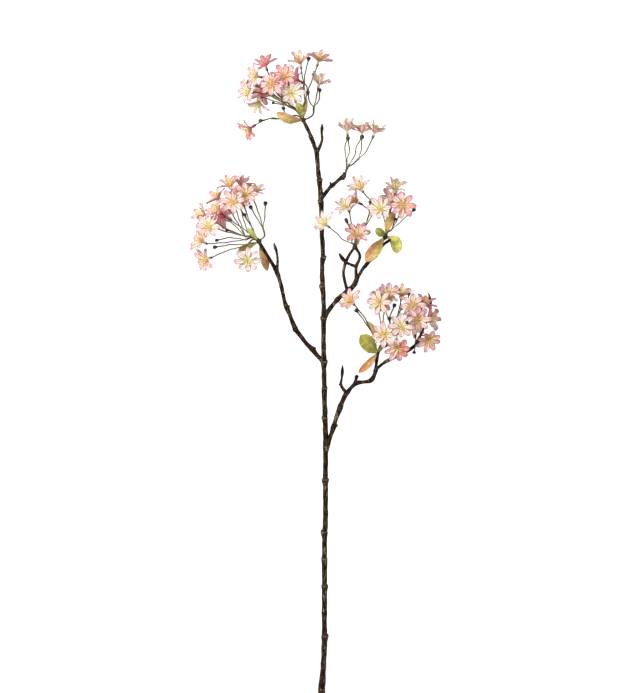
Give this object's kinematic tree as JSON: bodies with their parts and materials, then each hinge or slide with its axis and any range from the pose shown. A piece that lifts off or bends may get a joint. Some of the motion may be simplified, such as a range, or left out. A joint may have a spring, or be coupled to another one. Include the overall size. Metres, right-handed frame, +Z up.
{
  "type": "flowering branch",
  "caption": "Cut flowering maple-like branch lying on its back: a slim brown stem with twigs, stalked heads of pale pink starry blooms, closed buds and young leaves.",
  "frame": {"origin": "on the surface the branch lies on, below the middle of its outline seen from above", "axes": "+Y from the cut foot of the stem to its top, +Z up from the surface, +X to the right seen from above"},
  "size_m": [0.4018, 1.0463, 0.114],
  "materials": {
    "bark": "rough dark brown bark with greyer ridges",
    "stalks": "matt olive green, darker brown at buds",
    "petals": "soft matt, cream to pale pink with mauve edges",
    "stamens": "matt yellow threads with golden brown tips",
    "leaf_green": "satin yellow-green leaf with a paler midrib",
    "leaf_peach": "satin peach to terracotta leaf with olive edges"
  },
  "bodies": {
    "root": {"wood": "bark", "top_stalks": "stalks", "corner_stalks": "stalks", "left_stalks": "stalks", "inner_stalks": "stalks", "outer_stalks": "stalks", "lower_stalks": "stalks", "tip_stalks": "stalks", "top_leaf_peach": "leaf_peach", "top_leaf_olive": "leaf_green", "top_leaf_narrow": "leaf_peach", "left_leaf_yellow": "leaf_green", "left_leaf_brown": "leaf_green", "left_leaf_orange": "leaf_peach", "outer_leaf_apricot": "leaf_peach", "outer_leaf_round": "leaf_green", "outer_leaf_green": "leaf_green", "outer_leaf_terracotta": "leaf_peach", "lower_leaf_green": "leaf_green", "lower_leaf_small": "leaf_green", "lower_leaf_orange": "leaf_peach", "lower_leaf_peach": "leaf_peach", "top_blooms_1": "petals", "top_blooms_2": "petals", "top_blooms_3": "petals", "top_blooms_4": "petals", "top_blooms_5": "petals", "top_blooms_6": "petals", "top_blooms_7": "petals", "top_blooms_8": "petals", "top_blooms_9": "petals", "top_blooms_10": "petals", "corner_blooms_1": "petals", "left_blooms_1": "petals", "left_blooms_2": "petals", "left_blooms_3": "petals", "left_blooms_4": "petals", "left_blooms_5": "petals", "left_blooms_6": "petals", "left_blooms_7": "petals", "left_blooms_8": "petals", "inner_blooms_1": "petals", "inner_blooms_2": "petals", "inner_blooms_3": "petals", "inner_blooms_4": "petals", "inner_blooms_5": "petals", "outer_blooms_1": "petals", "outer_blooms_2": "petals", "outer_blooms_3": "petals", "outer_blooms_4": "petals", "lower_blooms_1": "petals", "lower_blooms_2": "petals", "lower_blooms_3": "petals", "lower_blooms_4": "petals", "lower_blooms_5": "petals", "lower_blooms_6": "petals", "lower_blooms_7": "petals", "lower_blooms_8": "petals", "tip_blooms_1": "petals"}
  },
  "joints": []
}
